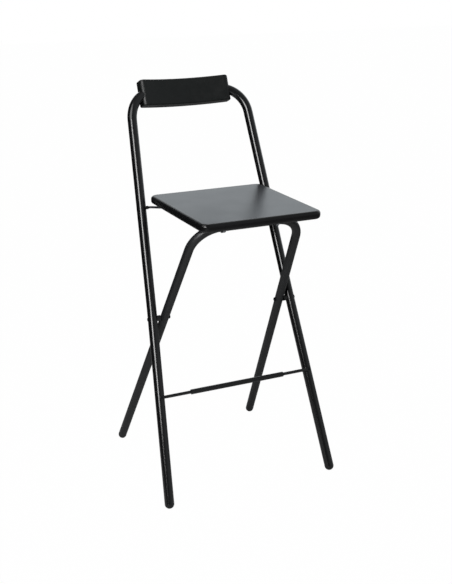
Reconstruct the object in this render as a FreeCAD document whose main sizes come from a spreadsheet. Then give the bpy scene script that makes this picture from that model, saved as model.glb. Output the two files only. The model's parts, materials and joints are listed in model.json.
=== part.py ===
import FreeCAD, Part
import math
import os
from FreeCAD import Placement, Rotation, Vector

# Folding bar stool with a backrest. Millimetres, +Z up, the front faces -Y.
# The outer frame (front legs and backrest hoop) is the fixed body. The inner
# frame (rear legs) turns in it, and the seat turns on the inner frame's top bar.

doc = FreeCAD.newDocument("folding_bar_stool")
sheet = doc.addObject("Spreadsheet::Sheet", "sizes")

DRIVING_SIZES = [
    ("origin_back", 207.02, "from the front legs' floor line back to the origin"),
    ("outer_tube_dia", 25.0, "outer frame tube"),
    ("inner_tube_dia", 23.0, "inner frame tube"),
    ("tube_wall", 1.5, "wall of both tubes"),
    ("outer_lean_angle", 22.066, "outer frame from the vertical, degrees"),
    ("lower_splay_angle", 4.25, "front legs apart below the slight bend, degrees"),
    ("upper_splay_angle", 3.609, "front legs apart above the slight bend, degrees"),
    ("outer_bend_rise", 518.0, "distance up the leg to the slight bend"),
    ("outer_bend_radius", 1500.0, "radius of the slight bend"),
    ("hoop_rise", 1092.0, "distance up the leg to the hoop's cross bar"),
    ("hoop_radius", 80.0, "radius of the hoop's corners"),
    ("bow_radius", 370.0, "radius of the hoop's cross bar, bowed backwards"),
    ("pivot_rise", 491.8, "distance up the leg to the frame pivot"),
    ("inner_lean_angle", 29.41, "inner frame from the vertical, degrees"),
    ("inner_splay_angle", 4.473, "rear legs apart, degrees"),
    ("leg_gap", 10.0, "gap between the crossing legs at the pivot"),
    ("inner_radius", 73.0, "radius of the inner frame's corners"),
    ("hinge_rise", 311.6, "distance up the inner frame from the pivot to its top bar"),
    ("foot_flat", 0.3, "depth of the flat under each domed foot"),
    ("foot_spigot", 22.0, "length of a foot inside its tube"),
    ("fit_gap", 0.05, "radial clearance of a pin in its hole"),
    ("running_gap", 0.3, "clearance beside a part that moves"),
    ("rivet_dia", 8.0, "pivot rivet"),
    ("rivet_head_dia", 9.5, "pivot rivet head"),
    ("rivet_head_height", 2.0, "pivot rivet head"),
    ("rivet_button_height", 0.9, "flat head of the pivot rivet outside the leg"),
    ("washer_dia", 11.5, "pivot washer"),
    ("washer_height", 0.9, "pivot washer"),
    ("spacer_dia", 15.0, "spacer between the crossing legs"),
    ("seat_width", 328.0, "seat over its edge trim"),
    ("seat_side_gap", 7.8, "gap between the seat and the front legs beside it"),
    ("seat_depth", 343.0, "seat over its edge trim"),
    ("seat_height", 21.0, "thickness of the seat"),
    ("seat_corner", 21.0, "plan radius of the seat's corners"),
    ("seat_overhang", 80.8, "seat in front of its hinge"),
    ("trim_width", 9.0, "edge trim seen from above"),
    ("trim_round", 8.0, "rounding of the edge trim"),
    ("clip_inset", 4.0, "middle of a hinge clip from the end of the bar's straight run"),
    ("clip_width", 8.0, "hinge clip along the bar"),
    ("clip_wall", 3.2, "hinge clip"),
    ("clip_tab", 16.0, "hinge clip's screw tab beyond the bar"),
    ("stay_dia", 6.0, "stay wire"),
    ("stay_drop", 12.95, "stay wire's bushes under the seat board"),
    ("stay_bar_half", 44.0, "half length of the stay wire's cross bar"),
    ("stay_bar_back", 148.24, "stay wire's cross bar behind the seat hinge"),
    ("stay_bar_drop", 4.0, "stay wire's axis under the seat board"),
    ("stay_stub", 12.7, "stay wire's elbow inside the legs"),
    ("stay_radius", 12.0, "bends of the stay wire"),
    ("bush_dia", 9.0, "bush of the stay wire"),
    ("bush_length", 14.0, "bush of the stay wire"),
    ("guide_half", 36.0, "half distance between the guide's cheeks"),
    ("guide_wall", 2.0, "guide bracket"),
    ("guide_travel", 60.5, "travel of the stay wire's bar in its guide"),
    ("guide_dip", 11.0, "depth that the bar dips in its guide"),
    ("guide_rim", 5.0, "metal round the guide's windows"),
    ("guide_tab", 14.0, "guide bracket beyond its windows"),
    ("rod_dia", 8.5, "footrest rod"),
    ("rod_rise", 287.2, "distance up the leg to the footrest"),
    ("rod_front", 15.0, "footrest rod's axis in front of the legs' axes"),
    ("ear_width", 7.8, "flattened end of the footrest rod"),
    ("ear_wall", 3.0, "flattened end of the footrest rod"),
    ("ear_reach", 5.0, "flattened end beyond the tube's centre line"),
    ("ear_taper", 10.0, "length over which the rod is flattened"),
    ("sleeve_dia", 13.4, "footrest sleeve"),
    ("sleeve_length", 272.0, "footrest sleeve"),
    ("small_rivet_dia", 4.0, "footrest rivet"),
    ("small_rivet_head_dia", 7.0, "footrest rivet head"),
    ("small_rivet_head_height", 1.6, "footrest rivet head"),
    ("small_rivet_length", 7.0, "footrest rivet behind the tube's front"),
    ("pad_length", 259.0, "backrest pad"),
    ("pad_height", 70.0, "backrest pad"),
    ("pad_depth", 34.8, "backrest pad"),
    ("pad_bow_radius", 515.0, "bow of the backrest pad"),
    ("pad_set", 2.7, "middle of the pad in front of the axis of its bar"),
    ("pad_drop", 3.2, "middle of the pad below the axis of its bar"),
    ("pad_aside", 2.5, "middle of the pad to the left of the stool's middle"),
    ("pad_round", 4.0, "rounding of the backrest pad's long edges"),
    ("pad_front_round", 11.5, "rounding of the backrest pad's upright edges in front"),
    ("pad_back_round", 5.0, "rounding of the backrest pad's upright edges behind"),
    ("pad_seam", 0.4, "gap between the backrest's shells"),
    ("pad_screw_half", 62.0, "half distance between the backrest screws"),
    ("pad_screw_dia", 5.0, "backrest screw"),
    ("pad_screw_head_dia", 9.0, "backrest screw head"),
    ("pad_screw_head_height", 3.0, "backrest screw head"),
    ("pad_screw_seat", 5.0, "depth of the backrest screw head's seat"),
    ("pad_screw_cover", 4.0, "plastic in front of a backrest screw's tip"),
    ("screw_dia", 3.5, "seat screw"),
    ("screw_head_dia", 7.0, "seat screw head"),
    ("screw_head_height", 2.0, "seat screw head"),
    ("screw_length", 12.0, "seat screw in the board"),
    ("screw_inset", 4.5, "guide bracket's screws from its ends"),
    ("recess_width", 0.9, "arms of the cross recess in a screw head"),
    ("recess_depth", 1.1, "cross recess in a screw head"),
    ("cutter_reach", 1.0, "reach of a cutting shape past the surface it cuts"),
]

# Limits of what counts as the same place, in millimetres, and as the same
# direction, in degrees.
SAME_PLACE = 0.01
SAME_WAY_ANGLE = 2.5
SLOPE_ROUNDS = 20
# Shares of a head's height, of an ear's width and of a head's radius.
HEAD_ROUND_SHARE = 0.6
EAR_ROUND_SHARE = 0.35
RECESS_SHARE = 0.55

for row, (alias, value, note) in enumerate(DRIVING_SIZES, start=1):
    sheet.set("A%d" % row, alias)
    sheet.set("B%d" % row, repr(value))
    sheet.set("C%d" % row, note)
    sheet.setAlias("B%d" % row, alias)
doc.recompute()


def size(alias):
    return float(sheet.get(alias))


SIDES = (("left", -1.0), ("right", 1.0))
ACROSS = Vector(1, 0, 0)
UP = Vector(0, 0, 1)
nodes = {}


def keep(label, thing):
    """Registers a sub-part under the name of its file."""
    thing.Label = label
    nodes[label] = thing
    return thing


def feature(label, shape):
    """A sub-part whose shape is made here from the sheet's sizes."""
    thing = doc.addObject("Part::Feature", label)
    thing.Shape = shape
    return keep(label, thing)


def place(thing, base, direction=UP):
    """Moves a primitive so that its own Z axis lies along a direction."""
    thing.Placement = Placement(base, Rotation(UP, direction))
    return thing


def cylinder(name, radius, height, base, direction=UP):
    """A cylinder bound to the sheet by two expressions."""
    thing = doc.addObject("Part::Cylinder", name)
    thing.setExpression("Radius", radius)
    thing.setExpression("Height", height)
    return place(thing, base, direction)


def box(name, length, width, height, corner):
    """A box bound to the sheet by three expressions."""
    thing = doc.addObject("Part::Box", name)
    thing.setExpression("Length", length)
    thing.setExpression("Width", width)
    thing.setExpression("Height", height)
    return place(thing, corner)


def joined(name, things):
    thing = doc.addObject("Part::MultiFuse", name)
    thing.Shapes = things
    thing.Refine = True
    return thing


def cut_by(name, base, tool):
    thing = doc.addObject("Part::Cut", name)
    thing.Base = base
    thing.Tool = tool
    return thing


def helper(name, shape):
    """A shape that other sub-parts are cut with. It isn't a sub-part itself."""
    thing = doc.addObject("Part::Feature", name)
    thing.Shape = shape
    return thing


def rod(radius, start, end):
    """A plain cylinder shape between two points."""
    way = end - start
    return Part.makeCylinder(radius, way.Length, start, way)


def foot_centre_rise(lean, radius):
    """Distance up a leg to the centre of its domed foot."""
    return (radius - size("foot_flat")) / math.cos(lean)


# The planes of the two frames. A place on the outer frame is given by its
# distance up the leg, its distance in front of the legs' plane and its x.
outer_radius = size("outer_tube_dia") / 2
inner_radius = size("inner_tube_dia") / 2
outer_angle = math.radians(size("outer_lean_angle"))
inner_angle = math.radians(size("inner_lean_angle"))
outer_up = Vector(0, math.sin(outer_angle), math.cos(outer_angle))
outer_front = Vector(0, -math.cos(outer_angle), math.sin(outer_angle))
inner_up = Vector(0, -math.sin(inner_angle), math.cos(inner_angle))
outer_foot = Vector(0, -size("origin_back"), 0)


def on_outer(rise, front=0.0, across=0.0):
    return outer_foot + outer_up * rise + outer_front * front + ACROSS * across


pivot = on_outer(size("pivot_rise"))
hinge = pivot + inner_up * size("hinge_rise")
inner_length = hinge.z / inner_up.z
inner_foot = hinge - inner_up * inner_length
seat_under = hinge.z + inner_radius + size("running_gap")
seat_top = seat_under + size("seat_height")
seat_front = hinge.y - size("seat_overhang")
seat_back = seat_front + size("seat_depth")
seat_rise = seat_under / outer_up.z
stay_rise = seat_rise - size("stay_drop") / outer_up.z
stay_pivot = on_outer(stay_rise)


def outer_half(rise):
    """Half width of the outer frame's axis at a distance up the leg."""
    bend = size("outer_bend_rise")
    upper_slope = math.tan(math.radians(size("upper_splay_angle")))
    lower_slope = math.tan(math.radians(size("lower_splay_angle")))
    at_seat = size("seat_width") / 2 + size("seat_side_gap") + outer_radius
    at_bend = at_seat + (seat_rise - bend) * upper_slope
    if rise < bend:
        return at_bend + (bend - rise) * lower_slope
    return at_bend - (rise - bend) * upper_slope


def inner_slope():
    return math.tan(math.radians(size("inner_splay_angle")))


def inner_half(rise):
    """Half width of the inner frame's axis at a distance up its leg."""
    at_pivot = outer_half(size("pivot_rise")) - outer_radius - size("leg_gap") - inner_radius
    pivot_up_inner = inner_length - size("hinge_rise")
    return at_pivot + (pivot_up_inner - rise) * inner_slope()


def rounded_corner(before, corner, after, radius):
    """The arc that rounds a corner, as its two ends and its middle."""
    inward = (before - corner).normalize()
    outward = (after - corner).normalize()
    half_turn = (math.pi - inward.getAngle(outward)) / 2
    reach = radius * math.tan(half_turn)
    start = corner + inward * reach
    end = corner + outward * reach
    bisector = (inward + outward).normalize()
    middle = corner + bisector * (radius / math.cos(half_turn) - radius)
    return start, middle, end


def bent_path(points, radii):
    """Straight runs through the points, with each inner point rounded."""
    edges = []
    last = points[0]
    for index, radius in enumerate(radii, start=1):
        start, middle, end = rounded_corner(points[index - 1], points[index], points[index + 1], radius)
        edges.append(Part.makeLine(last, start))
        edges.append(Part.Arc(start, middle, end).toShape())
        last = end
    edges.append(Part.makeLine(last, points[-1]))
    return Part.Wire(edges)


def pipe(path, radius):
    """A round bar along a path."""
    start = path.OrderedVertexes[0].Point
    way = path.OrderedEdges[0].tangentAt(path.OrderedEdges[0].FirstParameter)
    ring = Part.Wire([Part.makeCircle(radius, start, way)])
    return path.makePipeShell([ring], True, False)


def side_points(points, side):
    return [Vector(side * point.x, point.y, point.z) for point in points]


def outer_points():
    """Points along the axis of one leg, its hoop corner and the bar's middle."""
    foot_rise = foot_centre_rise(outer_angle, outer_radius)
    corner = on_outer(size("hoop_rise"), 0, outer_half(size("hoop_rise")))
    bend = on_outer(size("outer_bend_rise"), 0, outer_half(size("outer_bend_rise")))
    foot = on_outer(foot_rise, 0, outer_half(foot_rise))
    # The bar leaves the corner at the slope that its bow has there.
    slope = bow_slope(corner, bend)
    bar_way = Vector(-math.cos(slope), 0, 0) - outer_front * math.sin(slope)
    leg = rounded_corner(foot, bend, corner, size("outer_bend_radius"))
    hoop = rounded_corner(bend, corner, corner + bar_way, size("hoop_radius"))
    sag = size("bow_radius") * (1 - math.cos(slope))
    bow_middle = Vector(0, hoop[2].y, hoop[2].z) - outer_front * sag
    return [foot, *leg, *hoop, bow_middle]


def outer_path():
    """The axis of the outer frame: two legs, two corners and the bowed bar."""
    right = outer_points()
    left = side_points(right, -1.0)
    return Part.Wire([
        Part.makeLine(right[0], right[1]),
        Part.Arc(*right[1:4]).toShape(),
        Part.makeLine(right[3], right[4]),
        Part.Arc(*right[4:7]).toShape(),
        Part.Arc(right[6], right[7], left[6]).toShape(),
        Part.Arc(*left[4:7][::-1]).toShape(),
        Part.makeLine(left[4], left[3]),
        Part.Arc(*left[1:4][::-1]).toShape(),
        Part.makeLine(left[1], left[0]),
    ])


def pad_middle_depth():
    """Middle of the pad in front of the legs' plane. It is behind, so below 0."""
    bow_middle = outer_points()[-1]
    return (bow_middle - on_outer(size("hoop_rise"))).dot(outer_front) + size("pad_set")


def bow_slope(corner, bend):
    """Slope of the bowed bar where it meets a corner arc of the hoop."""
    slope = 0.0
    for turn in range(SLOPE_ROUNDS):
        bar_way = Vector(-math.cos(slope), 0, 0) - outer_front * math.sin(slope)
        ends = rounded_corner(bend, corner, corner + bar_way, size("hoop_radius"))
        slope = math.asin(ends[2].x / size("bow_radius"))
    return slope


def inner_points():
    foot_rise = foot_centre_rise(inner_angle, inner_radius)
    right_foot = inner_foot + inner_up * foot_rise + ACROSS * inner_half(foot_rise)
    right_top = hinge + ACROSS * inner_half(inner_length)
    return [right_foot, right_top] + side_points([right_top, right_foot], -1.0)


def stay_points():
    """The stay wire: stubs in the bushes, slanting arms and the cross bar."""
    inside = outer_half(stay_rise) - outer_radius
    end = stay_pivot + ACROSS * (inside + size("bush_length") / 2 - size("stay_dia"))
    elbow = stay_pivot + ACROSS * (inside - size("stay_stub"))
    bar = Vector(size("stay_bar_half"), hinge.y + size("stay_bar_back"), seat_under - size("stay_bar_drop"))
    right = [end, elbow, bar]
    return right + side_points(right[::-1], -1.0)


outer_axis = outer_path()
inner_axis = bent_path(inner_points(), [size("inner_radius")] * 2)
stay_axis = bent_path(stay_points(), [size("stay_radius")] * 4)
outer_bar = helper("outer_bar", pipe(outer_axis, outer_radius))
inner_bar = helper("inner_bar", pipe(inner_axis, inner_radius))


def headed_pin(radius, head_radius, head_height, start, seat, way):
    """A pin from its start to the seat of its head, and the rounded head."""
    tip = seat + way * head_height
    head = rod(head_radius, seat, tip)
    head = head.makeFillet(head_height * HEAD_ROUND_SHARE, [round_edge(head, tip)])
    return rod(radius, start, seat + way * (head_height / 2)).fuse(head).removeSplitter()


def pivot_rivets():
    """Rivets through both frames, with a spacer between and a washer inside."""
    outer_x = outer_half(size("pivot_rise"))
    outside = outer_x + outer_radius
    inner_x = inner_half(inner_length - size("hinge_rise"))
    spacer_start = inner_x + inner_radius + inner_slope() * size("spacer_dia") / 2 + size("running_gap")
    washer_end = inner_x - inner_radius - inner_slope() * size("washer_dia") / 2 - size("running_gap")
    washer_start = washer_end - size("washer_height")
    reach = size("cutter_reach")
    pin = size("rivet_dia") / 2
    bore = pin + size("fit_gap")
    head = size("rivet_head_dia") / 2
    for word, side in SIDES:
        def at(x):
            return pivot + ACROSS * (side * x)
        inner_part = headed_pin(
            pin, head, size("rivet_head_height"), at(outer_x), at(washer_start), ACROSS * -side)
        shaft = rod(pin, at(inner_x), at(outside))
        button = rod(head, at(outer_x), at(outside + size("rivet_button_height"))).cut(outer_bar.Shape)
        feature("pivot_rivet_" + word, inner_part.fuse([shaft, button]).removeSplitter())
        spacer = rod(size("spacer_dia") / 2, at(spacer_start), at(outer_x))
        spacer = spacer.cut(outer_bar.Shape).cut(rod(bore, at(spacer_start - reach), at(outer_x)))
        feature("pivot_spacer_" + word, spacer)
        washer = rod(size("washer_dia") / 2, at(washer_start), at(washer_end))
        washer_bore = rod(bore, at(washer_start - reach), at(washer_end + reach))
        feature("pivot_washer_" + word, washer.cut(washer_bore))


def runs_along(edge, way):
    """Whether an edge starts along a direction, either way round."""
    return abs(edge.tangentAt(edge.FirstParameter).dot(way)) > math.cos(math.radians(SAME_WAY_ANGLE))


def round_edge(shape, centre):
    """The circular edge of a shape that is centred on a point."""
    for edge in shape.Edges:
        if edge.Curve.TypeId == "Part::GeomCircle" and edge.Curve.Center.isEqual(centre, SAME_PLACE):
            return edge
    raise ValueError("no circular edge there")


def stay_bush_ends():
    inside = outer_half(stay_rise) - outer_radius
    return inside - size("bush_length") / 2, inside + size("bush_length") / 2


def stay_bushes():
    start, end = stay_bush_ends()
    for word, side in SIDES:
        base = stay_pivot + ACROSS * (side * start)
        way = ACROSS * side
        outside = cylinder("bush_outside_" + word, "sizes.bush_dia / 2", "sizes.bush_length", base, way)
        bore_radius = "sizes.stay_dia / 2 + sizes.fit_gap"
        bore = cylinder("bush_bore_" + word, bore_radius, "sizes.bush_length", base, way)
        keep("stay_bush_" + word, cut_by("bush_" + word, outside, bore))


def frame_tubes():
    """Both bent tubes, hollow, with the holes of what passes through them."""
    wall = size("tube_wall")
    bush_end = stay_bush_ends()[1]
    bush_radius = size("bush_dia") / 2 + size("fit_gap")
    rivet_radius = size("rivet_dia") / 2 + size("fit_gap")
    far = ACROSS * (outer_half(0) + size("outer_tube_dia"))
    small = size("small_rivet_dia") / 2 + size("fit_gap")
    tube = outer_bar.Shape.cut(pipe(outer_axis, outer_radius - wall))
    holes = [rod(rivet_radius, pivot - far, pivot + far)]
    for side in (-1.0, 1.0):
        holes.append(rod(bush_radius, stay_pivot, stay_pivot + ACROSS * (side * bush_end)))
        ear = on_outer(size("rod_rise"), 0, side * outer_half(size("rod_rise")))
        holes.append(rod(small, ear, ear + outer_front * size("outer_tube_dia")))
        screw = on_outer(size("hoop_rise"), 0, side * size("pad_screw_half"))
        clear = size("pad_screw_dia") / 2 + size("fit_gap")
        reach = outer_front * (size("pad_depth") - pad_middle_depth())
        holes.append(rod(clear, screw - reach, screw + reach))
    feature("outer_frame_tube", tube.cut(holes))
    tube = inner_bar.Shape.cut(pipe(inner_axis, inner_radius - wall))
    feature("inner_frame_tube", tube.cut([rod(rivet_radius, pivot - far, pivot + far)]))


def feet():
    """A domed plug in the end of each leg, with a small flat to stand on."""
    ends = (("front", outer_axis, "outer_tube_dia"), ("rear", inner_axis, "inner_tube_dia"))
    for place_name, axis, dia in ends:
        edges = axis.OrderedEdges
        corners = axis.OrderedVertexes
        for word, side in SIDES:
            centre = corners[0].Point if side > 0 else corners[-1].Point
            edge = edges[0] if side > 0 else edges[-1]
            far_end = max((vertex.Point for vertex in edge.Vertexes), key=centre.distanceToPoint)
            way = (far_end - centre).normalize()
            name = "%s_foot_%s" % (place_name, word)
            ball = doc.addObject("Part::Sphere", name + "_ball")
            ball.setExpression("Radius", "sizes.%s / 2" % dia)
            ball.setExpression("Angle2", "0")
            place(ball, centre, way)
            # The spigot starts a little inside the dome.
            spigot_start = centre - way * size("tube_wall")
            radius = "sizes.%s / 2 - sizes.tube_wall - sizes.fit_gap" % dia
            spigot = cylinder(
                name + "_spigot", radius, "sizes.foot_spigot + sizes.tube_wall", spigot_start, way)
            whole = joined(name + "_whole", [ball, spigot])
            spread = size(dia)
            corner = Vector(centre.x - spread, centre.y - spread, -spread)
            floor = box(name + "_floor", "2 * sizes." + dia, "2 * sizes." + dia, "sizes." + dia, corner)
            keep(name, cut_by(name, whole, floor))


def footrest():
    """The rod with flattened ends, the sleeve on it and its two rivets."""
    rise = size("rod_rise")
    ear_x = outer_half(rise)
    radius = size("rod_dia") / 2
    ear_front = outer_radius + size("fit_gap")
    ear_start = ear_x - outer_radius - size("running_gap")
    round_end = ear_start - size("ear_taper")
    centre = on_outer(rise, size("rod_front"))
    bar = rod(radius, centre - ACROSS * round_end, centre + ACROSS * round_end)
    pieces = [bar]
    for side in (-1.0, 1.0):
        ring = Part.Wire([Part.makeCircle(radius, centre + ACROSS * (side * round_end), ACROSS)])
        ear = ear_profile(side * ear_start, ear_front)
        pieces.append(Part.makeLoft([ring, ear], True, False))
        end = side * (ear_x + size("ear_reach"))
        flat = Part.Face(ear).extrude(Vector(end - side * ear_start, 0, 0))
        pieces.append(flat.makeFillet(size("ear_width") * EAR_ROUND_SHARE, ear_corners(flat, end)))
    whole = pieces[0].fuse(pieces[1:]).removeSplitter()
    cutters = []
    for side in (-1.0, 1.0):
        hole = on_outer(rise, 0, side * ear_x)
        hole_radius = size("small_rivet_dia") / 2 + size("fit_gap")
        cutters.append(rod(hole_radius, hole, hole + outer_front * size("outer_tube_dia")))
    feature("footrest_rod", whole.cut(cutters))
    base = centre - ACROSS * (size("sleeve_length") / 2)
    outside = cylinder("sleeve_outside", "sizes.sleeve_dia / 2", "sizes.sleeve_length", base, ACROSS)
    bore = cylinder("sleeve_bore", "sizes.rod_dia / 2 + sizes.fit_gap", "sizes.sleeve_length", base, ACROSS)
    keep("footrest_sleeve", cut_by("footrest_sleeve", outside, bore))
    rivets = []
    for side in (-1.0, 1.0):
        seat = on_outer(rise, ear_front + size("ear_wall"), side * ear_x)
        back = on_outer(rise, outer_radius - size("small_rivet_length"), side * ear_x)
        rivets.append(headed_pin(
            size("small_rivet_dia") / 2, size("small_rivet_head_dia") / 2,
            size("small_rivet_head_height"), back, seat, outer_front))
    feature("footrest_rivets", Part.makeCompound(rivets))


def ear_profile(x, front):
    """Cross-section of the rod's flattened end."""
    half = size("ear_width") / 2
    deep = front + size("ear_wall")
    rise = size("rod_rise")
    corners = [on_outer(rise - half, front, x), on_outer(rise + half, front, x)]
    corners += [on_outer(rise + half, deep, x), on_outer(rise - half, deep, x)]
    return Part.makePolygon(corners + corners[:1])


def ear_corners(flat, x):
    """The two edges at the end of an ear that run through its thickness."""
    through = [edge for edge in flat.Edges if runs_along(edge, outer_front)]
    return [edge for edge in through if abs(edge.CenterOfMass.x - x) < SAME_PLACE]


def pad_band(front, back, low, high, half):
    """A bowed slab between two depths and two distances up the leg."""
    bow = size("pad_bow_radius")
    middle = pad_middle_depth()

    def arc_points(depth):
        radius = bow - (depth - middle)
        drop = radius - math.sqrt(radius ** 2 - half ** 2)
        return [(-half, depth + drop), (0.0, depth), (half, depth + drop)]

    aside = size("pad_aside")
    near = [on_outer(low, front_at, x - aside) for x, front_at in arc_points(front)]
    far = [on_outer(low, front_at, x - aside) for x, front_at in arc_points(back)]
    edges = [Part.Arc(*near).toShape(), Part.makeLine(near[2], far[2])]
    edges += [Part.Arc(*far[::-1]).toShape(), Part.makeLine(far[0], near[0])]
    return Part.Face(Part.Wire(edges)).extrude(outer_up * (high - low))


def end_edges(slab, way):
    """The edges up the leg at the slab's two ends that lie furthest one way."""
    upright = [edge for edge in slab.Edges if runs_along(edge, outer_up)]
    return sorted(upright, key=lambda edge: edge.CenterOfMass.dot(way))[-2:]


def backrest():
    """Two shells that clamp the hoop's bar, and the screws that hold them."""
    low = size("hoop_rise") - size("pad_drop") - size("pad_height") / 2
    high = low + size("pad_height")
    middle = pad_middle_depth()
    front = middle + size("pad_depth") / 2
    back = front - size("pad_depth")
    seam = size("pad_seam") / 2
    half_length = size("pad_length") / 2
    whole = pad_band(front, back, low, high, half_length)
    whole = whole.makeFillet(size("pad_front_round"), end_edges(whole, outer_front))
    whole = whole.makeFillet(size("pad_back_round"), end_edges(whole, -outer_front))
    rims = [edge for edge in whole.Edges if not runs_along(edge, outer_up)]
    whole = whole.makeFillet(size("pad_round"), rims)
    channel = pipe(outer_axis, outer_radius + size("fit_gap"))
    spare = size("cutter_reach")
    outer_limits = (low - spare, high + spare, half_length + spare)
    halves = (
        ("backrest_front_shell", pad_band(front + spare, middle + seam, *outer_limits)),
        ("backrest_rear_shell", pad_band(middle - seam, back - spare, *outer_limits)),
    )
    shaft_radius = size("pad_screw_dia") / 2
    head_radius = size("pad_screw_head_dia") / 2
    gap = size("fit_gap")
    bores = []
    screws = []
    for side in (-1.0, 1.0):
        at_bar = on_outer(size("hoop_rise"), middle, side * size("pad_screw_half"))
        tip = at_bar + outer_front * (size("pad_depth") / 2 - size("pad_screw_cover"))
        seat = at_bar - outer_front * (size("pad_depth") / 2 - size("pad_screw_seat"))
        outside = at_bar - outer_front * size("pad_depth")
        bores.append(rod(shaft_radius + gap, outside, tip + outer_front * gap))
        bores.append(rod(head_radius + gap, outside, seat))
        knob_end = seat - outer_front * size("pad_screw_head_height")
        screw = rod(shaft_radius, seat, tip).fuse(rod(head_radius, seat, knob_end)).removeSplitter()
        screws.append(screw.cut(cross_recess(knob_end, outer_front, head_radius)))
    for label, half in halves:
        feature(label, whole.common(half).cut([channel] + bores))
    feature("backrest_screws", Part.makeCompound(screws))


def cross_recess(centre, inward, head_radius):
    """A cross that is cut into a screw's head from its outer face."""
    half_arm = head_radius * RECESS_SHARE
    half_width = size("recess_width") / 2
    deep = size("recess_depth") + size("cutter_reach")
    low = -size("cutter_reach")
    arms = (
        Part.makeBox(2 * half_arm, 2 * half_width, deep, Vector(-half_arm, -half_width, low)),
        Part.makeBox(2 * half_width, 2 * half_arm, deep, Vector(-half_width, -half_arm, low)),
    )
    cross = arms[0].fuse(arms[1])
    cross.Placement = Placement(centre, Rotation(UP, inward))
    return cross


def rounded_slab(half_width, front, back, radius, low, high):
    """A flat slab with round corners in plan."""
    slab = Part.makeBox(2 * half_width, back - front, high - low, Vector(-half_width, front, low))
    return slab.makeFillet(radius, [edge for edge in slab.Edges if runs_along(edge, UP)])


def flat_rim(shape, level):
    """Outline edges of a slab at one level."""
    boxes = [(edge, edge.BoundBox) for edge in shape.Edges]
    return [edge for edge, room in boxes if max(abs(room.ZMin - level), abs(room.ZMax - level)) < SAME_PLACE]


def seat_board():
    """The board inside its edge trim, with the recess and the screw holes."""
    trim = size("trim_width")
    gap = size("fit_gap")
    spare = size("cutter_reach")
    half = size("seat_width") / 2
    corner = size("seat_corner")
    front = seat_front + trim
    back = seat_back - trim
    board = rounded_slab(half - trim, front, back, corner - trim, seat_under, seat_top)
    outline = rounded_slab(half, seat_front, seat_back, corner, seat_under, seat_top)
    rims = flat_rim(outline, seat_top) + flat_rim(outline, seat_under)
    outline = outline.makeFillet(size("trim_round"), rims)
    opening = rounded_slab(
        half - trim + gap, front - gap, back + gap, corner - trim + gap, seat_under - spare, seat_top + spare)
    feature("seat_edge_trim", outline.cut(opening))
    plate_front, plate_back = guide_ends()
    wall = size("guide_wall")
    side = size("guide_half") + wall / 2 + gap
    recess_long = plate_back - plate_front + 2 * gap
    recess = Part.makeBox(2 * side, recess_long, wall + gap, Vector(-side, plate_front - gap, seat_under))
    bores = []
    for spot in guide_screw_spots() + clip_screw_spots():
        bores.append(rod(size("screw_dia") / 2 + gap, spot, spot + UP * (size("screw_length") + gap)))
    feature("seat_board", board.cut([recess] + bores))


def guide_window():
    """Front, back and bottom of the windows that the stay wire's bar moves in."""
    radius = size("stay_dia") / 2 + size("running_gap")
    bar_y = hinge.y + size("stay_bar_back")
    back = bar_y + radius
    front = bar_y - size("guide_travel") - radius
    bottom = seat_under - size("stay_bar_drop") - size("guide_dip") - radius
    return front, back, bottom


def guide_ends():
    front, back, bottom = guide_window()
    return front - size("guide_tab"), back + size("guide_tab")


def guide_screw_spots():
    front, back = guide_ends()
    inset = size("screw_inset")
    spots = []
    for y in (front + inset, back - inset):
        for side in (-1.0, 1.0):
            spots.append(Vector(side * size("guide_half") / 2, y, seat_under))
    return spots


def clip_half():
    """Half distance between the hinge clips, at the ends of the bar's straight run."""
    right_foot, right_top, left_top, left_foot = inner_points()
    straight_end = rounded_corner(right_foot, right_top, left_top, size("inner_radius"))[2]
    return straight_end.x - size("clip_inset")


def clip_screw_spots():
    reach = inner_radius + size("clip_wall") + size("clip_tab") / 2
    spots = []
    for y in (hinge.y - reach, hinge.y + reach):
        for side in (-1.0, 1.0):
            spots.append(Vector(side * clip_half(), y, seat_under - size("clip_wall") / 2))
    return spots


def guide_bracket():
    """A plate let into the board, with two cheeks that have wide windows."""
    front, back, bottom = guide_window()
    plate_front, plate_back = guide_ends()
    wall = size("guide_wall")
    spare = size("cutter_reach")
    side = size("guide_half") + wall / 2
    plate = Part.makeBox(2 * side, plate_back - plate_front, wall, Vector(-side, plate_front, seat_under))
    rim = size("guide_rim")
    window_round = size("stay_dia") / 2
    cheek_long = back - front + 2 * rim
    cheek_low = bottom - rim
    pieces = []
    for way in (-1.0, 1.0):
        x = way * size("guide_half") - wall / 2
        cheek_high = seat_under + wall - cheek_low
        cheek = Part.makeBox(wall, cheek_long, cheek_high, Vector(x, front - rim, cheek_low))
        cheek = cheek.makeFillet(window_round + rim, low_edges(cheek, cheek_low))
        window = Part.makeBox(
            wall + 2 * spare, back - front, seat_under - bottom, Vector(x - spare, front, bottom))
        window = window.makeFillet(window_round, low_edges(window, bottom))
        pieces.append(cheek.cut(window))
    bores = []
    bore = size("screw_dia") / 2 + size("fit_gap")
    for spot in guide_screw_spots():
        bores.append(rod(bore, spot - UP * spare, spot + UP * (wall + spare)))
    feature("seat_guide_bracket", plate.fuse(pieces).removeSplitter().cut(bores))


def low_edges(shape, level):
    """Edges along X at the bottom of a plate."""
    across = [edge for edge in shape.Edges if runs_along(edge, ACROSS)]
    return [edge for edge in across if abs(edge.CenterOfMass.z - level) < SAME_PLACE]


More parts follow.
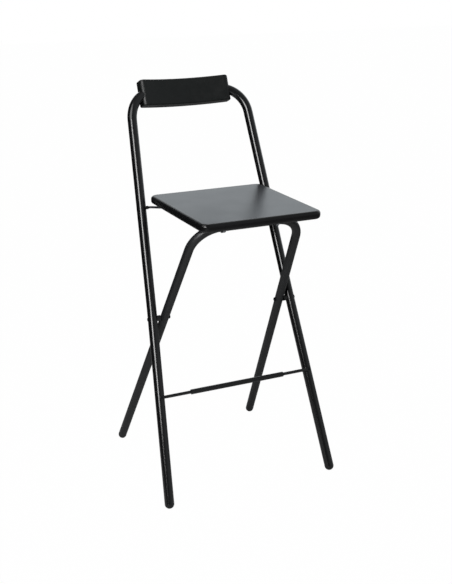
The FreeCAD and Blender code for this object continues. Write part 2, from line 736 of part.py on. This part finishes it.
def hinge_clips():
    """Saddles under the inner frame's top bar, screwed to the board."""
    wall = size("clip_wall")
    spare = size("cutter_reach")
    bore = inner_radius + size("running_gap") / 3
    outside = inner_radius + wall
    width = size("clip_width")
    wide = width + 2 * spare
    tab = outside + size("clip_tab")
    for word, side in SIDES:
        x = side * clip_half() - width / 2
        start = Vector(x, hinge.y, hinge.z)
        ring = rod(outside, start, start + ACROSS * width)
        upper = Part.makeBox(width, 2 * outside, seat_under - hinge.z, Vector(x, hinge.y - outside, hinge.z))
        tabs = Part.makeBox(width, 2 * tab, wall / 2, Vector(x, hinge.y - tab, seat_under - wall / 2))
        body = ring.fuse([upper, tabs])
        above = Part.makeBox(wide, 2 * outside, 2 * outside, Vector(x - spare, hinge.y - outside, seat_under))
        slot = Part.makeBox(wide, 2 * bore, 2 * outside, Vector(x - spare, hinge.y - bore, hinge.z))
        hole = rod(bore, start - ACROSS * spare, start + ACROSS * (width + spare))
        cutters = [above, slot, hole]
        for spot in clip_screw_spots():
            cutters.append(rod(size("screw_dia") / 2 + size("fit_gap"), spot - UP * spare, spot + UP * wall))
        feature("seat_hinge_clip_" + word, body.cut(cutters).removeSplitter())


def seat_screw(seat_level, spot):
    """A round-headed screw whose head is under a sheet of metal."""
    under = Vector(spot.x, spot.y, seat_level)
    head_radius = size("screw_head_dia") / 2
    tip = spot + UP * size("screw_length")
    screw = headed_pin(size("screw_dia") / 2, head_radius, size("screw_head_height"), tip, under, -UP)
    return screw.cut(cross_recess(under - UP * size("screw_head_height"), UP, head_radius))


def seat_screws():
    guide = [seat_screw(seat_under, spot) for spot in guide_screw_spots()]
    clip = [seat_screw(spot.z, spot) for spot in clip_screw_spots()]
    feature("seat_guide_screws", Part.makeCompound(guide))
    feature("seat_hinge_screws", Part.makeCompound(clip))


pivot_rivets()
stay_bushes()
frame_tubes()
feet()
footrest()
backrest()
seat_board()
guide_bracket()
hinge_clips()
seat_screws()
feature("stay_wire", pipe(stay_axis, size("stay_dia") / 2))

doc.recompute()
for thing in doc.Objects:
    for state in thing.State:
        if state in ("Invalid", "Error"):
            raise RuntimeError("%s is %s" % (thing.Name, state))
for label, thing in nodes.items():
    if thing.Shape.isNull() or not thing.Shape.isValid():
        raise RuntimeError("%s has no valid shape" % label)

os.makedirs("parts", exist_ok=True)
whole_box = FreeCAD.BoundBox()
for label, thing in nodes.items():
    thing.Shape.exportStep("parts/%s.step" % label)
    whole_box.add(thing.Shape.BoundBox)
    print("%-24s %8.1f cm3 %d solids" % (label, thing.Shape.Volume / 1000, len(thing.Shape.Solids)))
print("box", whole_box)
print("pivot", pivot, "hinge", hinge, "stay", stay_pivot)
print("pad", pad_middle_depth(), "clips", clip_half())
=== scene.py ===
import json
import math

import bpy
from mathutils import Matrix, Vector


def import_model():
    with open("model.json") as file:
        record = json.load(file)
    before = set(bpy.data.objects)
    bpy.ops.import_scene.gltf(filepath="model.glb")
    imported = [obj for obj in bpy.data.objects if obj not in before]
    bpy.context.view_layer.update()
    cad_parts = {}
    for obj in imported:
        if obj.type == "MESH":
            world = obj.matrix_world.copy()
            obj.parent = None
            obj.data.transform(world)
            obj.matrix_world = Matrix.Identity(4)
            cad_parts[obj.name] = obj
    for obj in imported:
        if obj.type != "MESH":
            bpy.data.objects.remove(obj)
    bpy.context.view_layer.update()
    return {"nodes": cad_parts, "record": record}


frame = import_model()
nodes = frame["nodes"]

# The photograph's camera, in the frame of the part. Metres and degrees, with
# the lens and the sensor in millimetres.
CAMERA_PLACE = (-1.13127, -2.40353, 1.40239)
CAMERA_TILT = 71.11
CAMERA_TURN = -25.58
CAMERA_LENS = 64.2
SENSOR = 36.0

# The backdrop's middle lies this many degrees right of straight behind the
# object. It starts and is full at these cosines from that middle.
BACKDROP_TURN = 20.0
BACKDROP_SPREAD = (0.45, 0.85)

# The rest of the studio is dim at the left and brighter at the right, between
# these cosines from the camera's right. All of it is a little cool.
ROOM_SPREAD = (-0.2, 1.0)
ROOM_LIGHT = (0.012, 0.34)
STUDIO_TINT = (0.93, 0.975, 1.0)

# The floor's colour is pale round the object and goes dark towards the camera's left, between two
# distances in metres. This is painted shade, seen only in reflections, standing in for a dim
# studio at that side. The camera sees it nearly white.
FLOOR_REACH = 12.0
FLOOR_WAY = (-0.92, 0.4, 0.0)
FLOOR_SPREAD = (0.3, 1.4)
FLOOR_PAINTED_SHADE = (0.6, 0.05)
FLOOR_WHITE = 0.993

# Each lamp's place, what it looks at and its two sides, in metres, and its
# power in watts.
MIDDLE = (0.0, 0.0, 0.55)
SEAT_CORNER = (-0.16, -0.25, 0.76)
LAMPS = {
    "lamp_left": ((-2.22, -2.0, 1.8), MIDDLE, (1.15, 1.6), 66.0),
    "lamp_above": ((0.0, 0.2, 3.2), MIDDLE, (3.0, 3.0), 4.0),
    "lamp_high": ((-1.12, -0.42, 2.02), SEAT_CORNER, (1.1, 1.1), 11.0),
}

# Linear colours.
WHITE = (1.0, 1.0, 1.0)
BLACK_PAINT = (0.0042, 0.0042, 0.0046)
GREY_PAINT = (0.012, 0.0125, 0.0135)
PAD_BLACK = (0.0035, 0.0045, 0.0043)
PLASTIC_BLACK = (0.007, 0.007, 0.0075)
LAMINATE = (0.013, 0.0145, 0.018)
LAMINATE_SHEEN = (0.84, 0.92, 1.0)
EDGING = (0.0045, 0.0045, 0.005)
STEEL = (0.42, 0.43, 0.45)
DARK_STEEL = (0.035, 0.036, 0.04)


def material(name, colour, roughness, specular=0.5, metallic=0.0, coat=0.0, coat_roughness=0.05):
    """A new material, its node tree and its one shader.

    The plain colour and roughness are for a viewer that can't read textures.
    """
    made = bpy.data.materials.new(name)
    made.use_nodes = True
    shader = made.node_tree.nodes["Principled BSDF"]
    shader.inputs["Base Color"].default_value = (*colour, 1.0)
    shader.inputs["Roughness"].default_value = roughness
    shader.inputs["Specular IOR Level"].default_value = specular
    shader.inputs["Metallic"].default_value = metallic
    shader.inputs["Coat Weight"].default_value = coat
    shader.inputs["Coat Roughness"].default_value = coat_roughness
    return made, made.node_tree, shader


def noise(tree, scale, detail=3.0):
    """A noise texture over the object's own place, in metres."""
    place = tree.nodes.new("ShaderNodeTexCoord")
    texture = tree.nodes.new("ShaderNodeTexNoise")
    texture.inputs["Scale"].default_value = scale
    texture.inputs["Detail"].default_value = detail
    tree.links.new(place.outputs["Object"], texture.inputs["Vector"])
    return texture.outputs["Fac"]


def remap(tree, value, low, high, start=0.3, end=0.7):
    """Spreads a value's range, as a rule a noise's middle one, from low to high."""
    spread = tree.nodes.new("ShaderNodeMapRange")
    spread.inputs["From Min"].default_value = start
    spread.inputs["From Max"].default_value = end
    spread.inputs["To Min"].default_value = low
    spread.inputs["To Max"].default_value = high
    tree.links.new(value, spread.inputs["Value"])
    return spread.outputs["Result"]


def mixed(tree, factor, first, second):
    """A colour between two, led by a value from 0 to 1."""
    mix = tree.nodes.new("ShaderNodeMix")
    mix.data_type = "RGBA"
    mix.inputs["A"].default_value = (*first, 1.0)
    mix.inputs["B"].default_value = (*second, 1.0)
    tree.links.new(factor, mix.inputs["Factor"])
    return mix.outputs["Result"]


def patchy_colour(tree, shader, colour, scale, darkest, lightest, detail=3.0):
    """Lets the colour drift between two factors of itself."""
    patches = remap(tree, noise(tree, scale, detail), 0.0, 1.0)
    dark = tuple(channel * darkest for channel in colour)
    light = tuple(channel * lightest for channel in colour)
    tree.links.new(mixed(tree, patches, dark, light), shader.inputs["Base Color"])


def uneven_gloss(tree, shader, scale, smoothest, roughest, detail=3.0):
    """Lets the roughness drift between two values."""
    patches = remap(tree, noise(tree, scale, detail), smoothest, roughest)
    tree.links.new(patches, shader.inputs["Roughness"])


def relief(tree, shader, height, distance, strength):
    """Raises the surface by a height from 0 to 1 times a distance in metres."""
    raised = tree.nodes.new("ShaderNodeBump")
    raised.inputs["Strength"].default_value = strength
    raised.inputs["Distance"].default_value = distance
    tree.links.new(height, raised.inputs["Height"])
    tree.links.new(raised.outputs["Normal"], shader.inputs["Normal"])


def leather_grain(tree, scale):
    """The height of small cells with grooves between them."""
    place = tree.nodes.new("ShaderNodeTexCoord")
    cells = tree.nodes.new("ShaderNodeTexVoronoi")
    cells.feature = "DISTANCE_TO_EDGE"
    cells.inputs["Scale"].default_value = scale
    tree.links.new(place.outputs["Object"], cells.inputs["Vector"])
    return remap(tree, cells.outputs["Distance"], 0.0, 1.0, start=0.0, end=0.25)


def gloss_paint():
    """Black powder coat: gloss with a faint orange peel."""
    made, tree, shader = material("gloss_paint", BLACK_PAINT, 0.2, coat=0.35, coat_roughness=0.08)
    patchy_colour(tree, shader, BLACK_PAINT, scale=9.0, darkest=0.8, lightest=1.3)
    uneven_gloss(tree, shader, scale=25.0, smoothest=0.19, roughest=0.23)
    relief(tree, shader, noise(tree, scale=180.0, detail=1.0), distance=0.00006, strength=0.06)
    return made


def grey_paint():
    """Dark satin powder coat with a fine grain."""
    made, tree, shader = material("grey_paint", GREY_PAINT, 0.42)
    patchy_colour(tree, shader, GREY_PAINT, scale=12.0, darkest=0.85, lightest=1.2)
    uneven_gloss(tree, shader, scale=80.0, smoothest=0.34, roughest=0.46)
    relief(tree, shader, noise(tree, scale=900.0, detail=2.0), distance=0.0002, strength=0.2)
    return made


def pad_plastic():
    """Moulded plastic with a fine leather grain."""
    made, tree, shader = material("pad_plastic", PAD_BLACK, 0.4)
    patchy_colour(tree, shader, PAD_BLACK, scale=14.0, darkest=0.85, lightest=1.25)
    uneven_gloss(tree, shader, scale=50.0, smoothest=0.34, roughest=0.46)
    relief(tree, shader, leather_grain(tree, scale=900.0), distance=0.00012, strength=0.35)
    return made


def black_plastic():
    """Plain black moulded plastic for feet, bushes, spacers and the sleeve."""
    made, tree, shader = material("black_plastic", PLASTIC_BLACK, 0.38)
    patchy_colour(tree, shader, PLASTIC_BLACK, scale=20.0, darkest=0.85, lightest=1.2)
    uneven_gloss(tree, shader, scale=90.0, smoothest=0.3, roughest=0.46)
    relief(tree, shader, noise(tree, scale=1400.0, detail=2.0), distance=0.0001, strength=0.25)
    return made


def laminate():
    """Dark laminate with a cool sheen and a fine pebble texture."""
    made, tree, shader = material("laminate", LAMINATE, 0.31, specular=1.0)
    shader.inputs["Specular Tint"].default_value = (*LAMINATE_SHEEN, 1.0)
    patchy_colour(tree, shader, LAMINATE, scale=7.0, darkest=0.92, lightest=1.1, detail=1.0)
    uneven_gloss(tree, shader, scale=14.0, smoothest=0.3, roughest=0.33, detail=1.0)
    relief(tree, shader, noise(tree, scale=1800.0, detail=2.0), distance=0.00008, strength=0.15)
    return made


def edging():
    """The glossy plastic moulding round the seat."""
    made, tree, shader = material("edging", EDGING, 0.24, specular=0.4)
    patchy_colour(tree, shader, EDGING, scale=16.0, darkest=0.85, lightest=1.2)
    uneven_gloss(tree, shader, scale=40.0, smoothest=0.22, roughest=0.27, detail=1.0)
    relief(tree, shader, noise(tree, scale=300.0, detail=1.0), distance=0.0002, strength=0.08)
    return made


def steel(name, colour, smoothest, roughest):
    """Plated or blackened steel with fine scratches."""
    made, tree, shader = material(name, colour, smoothest, metallic=1.0)
    patchy_colour(tree, shader, colour, scale=150.0, darkest=0.8, lightest=1.1)
    uneven_gloss(tree, shader, scale=400.0, smoothest=smoothest, roughest=roughest, detail=4.0)
    relief(tree, shader, noise(tree, scale=2500.0, detail=2.0), distance=0.00005, strength=0.3)
    return made


def dress_nodes():
    """Gives each CAD node the material of its slot in the record."""
    finishes = {
        "gloss_black_paint": gloss_paint(),
        "dark_grey_paint": grey_paint(),
        "black_plastic": black_plastic(),
        "backrest_plastic": pad_plastic(),
        "seat_laminate": laminate(),
        "seat_edging": edging(),
        "zinc_plate": steel("zinc_plate", STEEL, smoothest=0.28, roughest=0.42),
        "dark_steel": steel("dark_steel", DARK_STEEL, smoothest=0.3, roughest=0.45),
    }
    for entry in frame["record"]["subparts"]:
        mesh = nodes[entry["node"]].data
        mesh.materials.clear()
        mesh.materials.append(finishes[entry["material_slot"]])


def along(tree, place, way, start, end, low, high):
    """Brightness that goes from low to high along a direction."""
    dot = tree.nodes.new("ShaderNodeVectorMath")
    dot.operation = "DOT_PRODUCT"
    dot.inputs[1].default_value = way
    tree.links.new(place, dot.inputs[0])
    smooth = remap(tree, dot.outputs["Value"], low, high, start, end)
    smooth.node.interpolation_type = "SMOOTHSTEP"
    return smooth


def combined(tree, operation, first, second):
    """The result of a Math node on two sockets."""
    made = tree.nodes.new("ShaderNodeMath")
    made.operation = operation
    tree.links.new(first, made.inputs[0])
    tree.links.new(second, made.inputs[1])
    return made.outputs["Value"]


def floor():
    """A pale floor with painted shade towards the camera's left; it keeps a faint shadow and
    shows as white.
    """
    made = bpy.data.materials.new("floor")
    made.use_nodes = True
    tree = made.node_tree
    tree.nodes.clear()
    output = tree.nodes.new("ShaderNodeOutputMaterial")
    plain = tree.nodes.new("ShaderNodeBsdfDiffuse")
    place = tree.nodes.new("ShaderNodeTexCoord").outputs["Object"]
    # Painted shade: the floor's colour darkens towards the camera's left, and only reflections
    # show it.
    painted_shade = along(tree, place, FLOOR_WAY, *FLOOR_SPREAD, *FLOOR_PAINTED_SHADE)
    shade = tree.nodes.new("ShaderNodeCombineColor")
    for channel in ("Red", "Green", "Blue"):
        tree.links.new(painted_shade, shade.inputs[channel])
    tree.links.new(shade.outputs["Color"], plain.inputs["Color"])
    white = tree.nodes.new("ShaderNodeEmission")
    white.inputs["Color"].default_value = (*WHITE, 1.0)
    white.inputs["Strength"].default_value = 1.0
    blend = tree.nodes.new("ShaderNodeMixShader")
    rays = tree.nodes.new("ShaderNodeLightPath")
    seen = tree.nodes.new("ShaderNodeMath")
    seen.operation = "MULTIPLY"
    seen.inputs[1].default_value = FLOOR_WHITE
    tree.links.new(rays.outputs["Is Camera Ray"], seen.inputs[0])
    tree.links.new(seen.outputs["Value"], blend.inputs["Fac"])
    tree.links.new(plain.outputs["BSDF"], blend.inputs[1])
    tree.links.new(white.outputs["Emission"], blend.inputs[2])
    tree.links.new(blend.outputs["Shader"], output.inputs["Surface"])
    mesh = bpy.data.meshes.new("floor")
    far = FLOOR_REACH
    corners = [(-far, -far, 0), (far, -far, 0), (far, far, 0), (-far, far, 0)]
    mesh.from_pydata(corners, [], [(0, 1, 2, 3)])
    mesh.materials.append(made)
    plane = bpy.data.objects.new("floor", mesh)
    bpy.context.scene.collection.objects.link(plane)


def world():
    """White for the camera. Gloss and glass see a white backdrop in a dim studio."""
    made = bpy.data.worlds.new("studio")
    bpy.context.scene.world = made
    made.use_nodes = True
    tree = made.node_tree
    tree.nodes.clear()
    output = tree.nodes.new("ShaderNodeOutputWorld")
    place = tree.nodes.new("ShaderNodeTexCoord").outputs["Generated"]
    turn = math.radians(CAMERA_TURN)
    behind = math.radians(CAMERA_TURN - BACKDROP_TURN)
    to_backdrop = (-math.sin(behind), math.cos(behind), 0.0)
    to_right = (math.cos(turn), math.sin(turn), 0.0)
    backdrop = along(tree, place, to_backdrop, *BACKDROP_SPREAD, 0.0, 1.0)
    room = along(tree, place, to_right, *ROOM_SPREAD, *ROOM_LIGHT)
    rays = tree.nodes.new("ShaderNodeLightPath").outputs
    mirrored = combined(tree, "MAXIMUM", rays["Is Glossy Ray"], rays["Is Transmission Ray"])
    white = combined(tree, "MULTIPLY", backdrop, mirrored)
    brightness = tree.nodes.new("ShaderNodeMix")
    brightness.data_type = "FLOAT"
    brightness.inputs["B"].default_value = 1.0
    tree.links.new(rays["Is Camera Ray"], brightness.inputs["Factor"])
    tree.links.new(combined(tree, "MAXIMUM", white, room), brightness.inputs["A"])
    back = tree.nodes.new("ShaderNodeBackground")
    colour = mixed(tree, rays["Is Camera Ray"], STUDIO_TINT, WHITE)
    tree.links.new(colour, back.inputs["Color"])
    tree.links.new(brightness.outputs["Result"], back.inputs["Strength"])
    tree.links.new(back.outputs["Background"], output.inputs["Surface"])


def lamp(name, place, target, sides, power):
    """A soft lamp with a rectangular face that looks at a point."""
    data = bpy.data.lights.new(name, "AREA")
    data.shape = "RECTANGLE"
    data.size, data.size_y = sides
    data.energy = power
    light = bpy.data.objects.new(name, data)
    light.location = place
    light.rotation_euler = (Vector(target) - Vector(place)).to_track_quat("-Z", "Y").to_euler()
    bpy.context.scene.collection.objects.link(light)


def camera():
    """The camera of the photograph."""
    data = bpy.data.cameras.new("camera")
    data.lens = CAMERA_LENS
    data.sensor_width = SENSOR
    seen = bpy.data.objects.new("camera", data)
    seen.location = CAMERA_PLACE
    seen.rotation_euler = (math.radians(CAMERA_TILT), 0.0, math.radians(CAMERA_TURN))
    bpy.context.scene.collection.objects.link(seen)
    bpy.context.scene.camera = seen


bpy.context.scene.view_settings.view_transform = "Standard"
dress_nodes()
floor()
world()
camera()
for lamp_name, settings in LAMPS.items():
    lamp(lamp_name, *settings)
